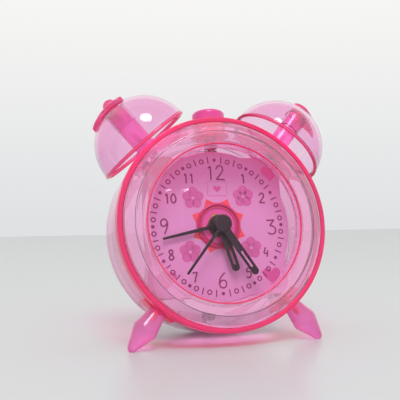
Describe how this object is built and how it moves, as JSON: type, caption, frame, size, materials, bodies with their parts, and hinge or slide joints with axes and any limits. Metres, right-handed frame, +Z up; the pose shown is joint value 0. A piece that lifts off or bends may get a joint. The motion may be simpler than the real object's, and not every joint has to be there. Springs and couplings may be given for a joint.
{
  "type": "twin-bell alarm clock",
  "caption": "Small clear-plastic twin-bell quartz alarm clock: round drum case on two turned legs, post-mounted bells, snooze button, four hands.",
  "frame": {"origin": "centre of the bounding box's footprint on the table, under the clock", "axes": "+Z up, the dial faces -Y and leans back 12.4 degrees, +X to the right seen from the front"},
  "size_m": [0.1044, 0.0557, 0.1029],
  "materials": {
    "clear_pink": "clear tinted moulding",
    "hot_pink": "gloss, translucent",
    "deep_pink": "gloss, translucent",
    "lens_clear": "clear",
    "dial_print": "printed card",
    "pink_frost": "translucent",
    "collar_red": "gloss",
    "hand_plum": "satin lacquer",
    "brass": "turned",
    "steel": "plain",
    "housing_grey": "fine matt",
    "gear_white": "natural acetal",
    "magnet": "ferrite",
    "copper_coil": "enamelled winding",
    "board_green": "solder mask",
    "chip_black": "epoxy",
    "buzzer_black": "fine matt",
    "cell_sleeve": "printed sleeve, unmarked"
  },
  "bodies": {
    "case": {"case_body": "clear_pink", "rim_ring": "hot_pink", "front_bezel": "clear_pink", "lens": "lens_clear", "back_cover": "clear_pink", "dial_plate": "dial_print", "dial_carrier": "pink_frost", "dial_collar": "collar_red", "dial_nut": "brass", "movement_front": "housing_grey", "movement_back": "housing_grey", "stator": "steel", "coil": "copper_coil", "circuit_board": "board_green", "driver_chip": "chip_black", "quartz_crystal": "steel", "buzzer": "buzzer_black", "battery": "cell_sleeve", "battery_spring": "steel", "battery_contact": "steel", "button_spring": "steel", "bell_left": "clear_pink", "bell_right": "clear_pink", "bell_post_left": "deep_pink", "bell_post_right": "deep_pink", "bell_cap_left": "hot_pink", "bell_cap_right": "hot_pink", "bell_bracket_left": "deep_pink", "bell_bracket_right": "deep_pink", "foot_left": "deep_pink", "foot_right": "deep_pink", "case_screws": "steel", "carrier_screws": "steel", "movement_screws": "steel", "bell_screws": "steel", "foot_screws": "hot_pink"},
    "seconds": {"second_wheel": "gear_white", "second_hand": "hand_plum"},
    "third": {"third_wheel": "gear_white"},
    "fifth": {"fifth_wheel": "gear_white"},
    "rotor": {"rotor": "magnet"},
    "centre": {"centre_wheel": "gear_white"},
    "minutes": {"cannon_pinion": "brass", "minute_hand": "hand_plum"},
    "intermediate": {"intermediate_wheel": "gear_white"},
    "hours": {"hour_wheel": "gear_white", "hour_hand": "hand_plum"},
    "time_setting": {"time_knob": "deep_pink"},
    "alarm_time": {"alarm_wheel": "gear_white", "alarm_hand": "hand_plum"},
    "alarm_setting": {"alarm_knob": "deep_pink"},
    "snooze": {"snooze_button": "deep_pink"},
    "alarm_onoff": {"alarm_switch": "deep_pink"},
    "battery_cover": {"battery_door": "clear_pink"}
  },
  "joints": [
    {"name": "second_spin", "type": "hinge", "parent": "case", "child": "seconds", "pos_m": [0, -0.01398, 0.04916], "axis": [0, 0.9767, -0.2148], "continuous": true},
    {"name": "fifth_spin", "type": "hinge", "parent": "case", "child": "fifth", "pos_m": [0.00873, 0.00351, 0.05048], "axis": [0, 0.9767, -0.2148], "continuous": true},
    {"name": "rotor_spin", "type": "hinge", "parent": "case", "child": "rotor", "pos_m": [0.016, 0.00442, 0.05458], "axis": [0, 0.9767, -0.2148], "continuous": true},
    {"name": "third_spin", "type": "hinge", "parent": "case", "child": "third", "pos_m": [-0.00345, 0.00447, 0.05481], "axis": [0, 0.9767, -0.2148], "continuous": true},
    {"name": "centre_spin", "type": "hinge", "parent": "case", "child": "centre", "pos_m": [0, 0.00106, 0.04585], "axis": [0, 0.9767, -0.2148], "continuous": true},
    {"name": "minute_spin", "type": "hinge", "parent": "case", "child": "minutes", "pos_m": [0, -0.01241, 0.04882], "axis": [0, 0.9767, -0.2148], "continuous": true},
    {"name": "intermediate_spin", "type": "hinge", "parent": "case", "child": "intermediate", "pos_m": [0.00693, -0.00136, 0.04229], "axis": [0, 0.9767, -0.2148], "continuous": true},
    {"name": "hour_spin", "type": "hinge", "parent": "case", "child": "hours", "pos_m": [0, -0.01085, 0.04848], "axis": [0, 0.9767, -0.2148], "continuous": true},
    {"name": "time_knob_spin", "type": "hinge", "parent": "case", "child": "time_setting", "pos_m": [0.01493, 0.01818, 0.038], "axis": [0, 0.9767, -0.2148], "continuous": true},
    {"name": "alarm_spin", "type": "hinge", "parent": "case", "child": "alarm_time", "pos_m": [0, -0.00909, 0.04809], "axis": [0, 0.9767, -0.2148], "continuous": true},
    {"name": "alarm_knob_spin", "type": "hinge", "parent": "case", "child": "alarm_setting", "pos_m": [-0.01082, 0.01841, 0.03907], "axis": [0, 0.9767, -0.2148], "continuous": true},
    {"name": "snooze_press", "type": "slide", "parent": "case", "child": "snooze", "axis": [0, -0.2148, -0.9767], "range_m": [0, 0.002], "stiffness_N_per_m": 250, "springref_m": -0.0008, "deforming": ["button_spring"]},
    {"name": "alarm_switch_slide", "type": "slide", "parent": "case", "child": "alarm_onoff", "axis": [0, 0.2148, 0.9767], "range_m": [0, 0.0045]},
    {"name": "battery_door_pull", "type": "slide", "parent": "case", "child": "battery_cover", "axis": [0, 0.9767, -0.2148], "range_m": [0, 0.012]}
  ],
  "couplings": [
    {"joint": "fifth_spin", "follows": "second_spin", "ratio": -5},
    {"joint": "rotor_spin", "follows": "second_spin", "ratio": 30},
    {"joint": "third_spin", "follows": "second_spin", "ratio": -0.13333},
    {"joint": "centre_spin", "follows": "second_spin", "ratio": 0.016667},
    {"joint": "intermediate_spin", "follows": "minute_spin", "ratio": -0.33333},
    {"joint": "hour_spin", "follows": "minute_spin", "ratio": 0.083333},
    {"joint": "time_knob_spin", "follows": "minute_spin", "ratio": 1},
    {"joint": "alarm_knob_spin", "follows": "alarm_spin", "ratio": -1.3333}
  ]
}
